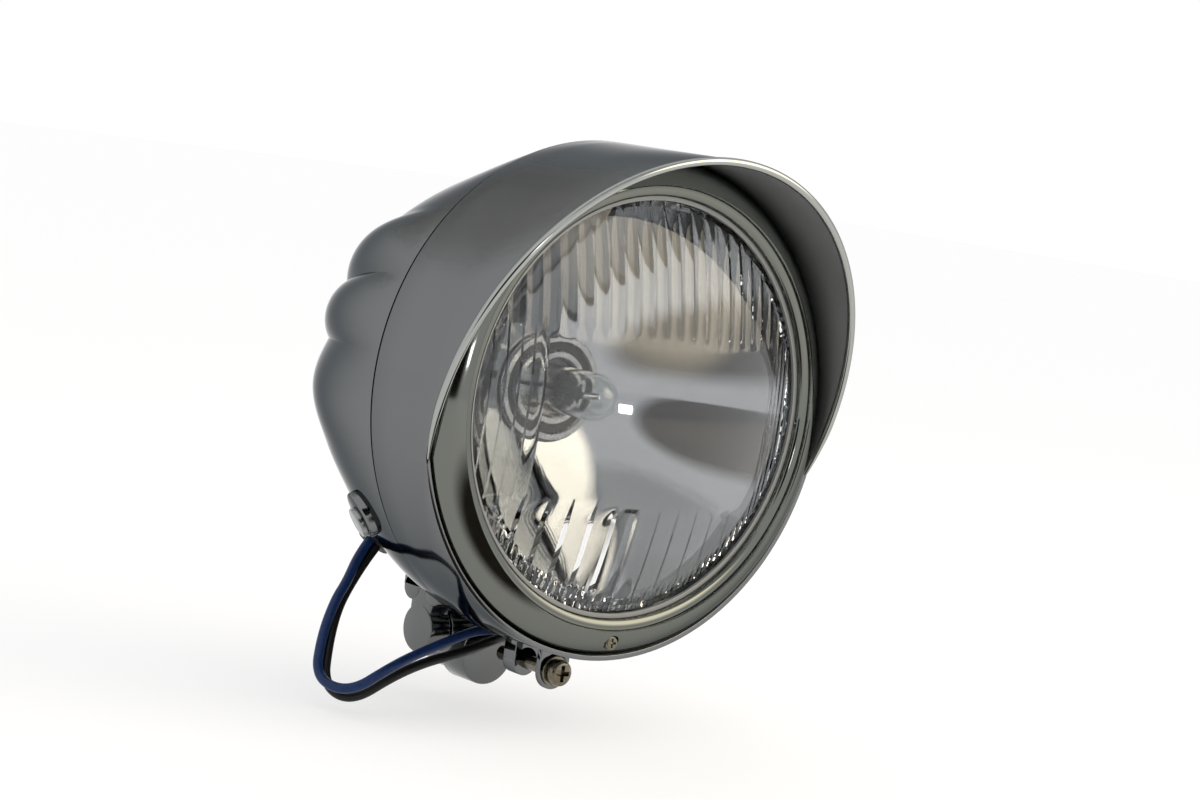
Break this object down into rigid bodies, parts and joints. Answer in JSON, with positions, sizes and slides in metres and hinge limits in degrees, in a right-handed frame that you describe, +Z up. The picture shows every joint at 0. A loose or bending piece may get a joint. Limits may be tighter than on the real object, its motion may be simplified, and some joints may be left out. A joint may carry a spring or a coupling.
{
  "type": "motorbike spotlight",
  "caption": "Round chrome auxiliary lamp with a peaked trim ring, fluted glass, a bowl-shaped lobed shell and a tilting knuckle mount under it for one fixing bolt.",
  "frame": {"origin": "centre of the fixing thread's mouth, on the rear face of the mount base's hub", "axes": "+Y rearwards along the fixing thread (the beam points along -Y), +Z up, +X towards the pivot screw's head"},
  "size_m": [0.1206, 0.112, 0.1379],
  "materials": {
    "chrome": "polished chrome plate",
    "cast_chrome": "chromed die casting",
    "screw_steel": "zinc plated",
    "inner_steel": "plain pressed steel",
    "wire_steel": "bright wire",
    "mirror_coat": "bright coated",
    "lens_glass": "clear pressed glass",
    "bulb_glass": "clear quartz",
    "ceramic_base": "matt moulded insulator",
    "seal_rubber": "soft black rubber",
    "blue_jacket": "satin vinyl jacket",
    "black_jacket": "satin vinyl jacket",
    "sleeve_plastic": "moulded sleeve"
  },
  "bodies": {
    "base": {"mount_base": "cast_chrome"},
    "head": {"trim_ring": "chrome", "rim_screw": "screw_steel", "lens_gasket": "seal_rubber", "lens_glass": "lens_glass", "reflector": "mirror_coat", "bulb_holder": "inner_steel", "bulb_flange": "inner_steel", "bulb_glass": "bulb_glass", "bulb_base": "ceramic_base", "filament": "wire_steel", "filament_posts": "wire_steel", "bulb_spring": "wire_steel", "retaining_clips": "inner_steel", "rear_shell": "chrome", "boss_plug": "screw_steel", "clamp_washer": "screw_steel", "clamp_screw": "screw_steel", "mount_foot": "cast_chrome", "saddle_washer": "inner_steel", "foot_bolt": "screw_steel", "friction_washer": "screw_steel", "pivot_screw": "screw_steel", "cable_grommet": "seal_rubber", "blue_lead": "blue_jacket", "blue_connector": "sleeve_plastic", "black_lead": "black_jacket", "black_connector": "sleeve_plastic", "inner_leads": "black_jacket"}
  },
  "joints": [
    {"name": "tilt", "type": "hinge", "parent": "base", "child": "head", "pos_m": [0, -0.011, 0.0047], "axis": [1, 0, 0], "range_deg": [-18, 6]}
  ]
}
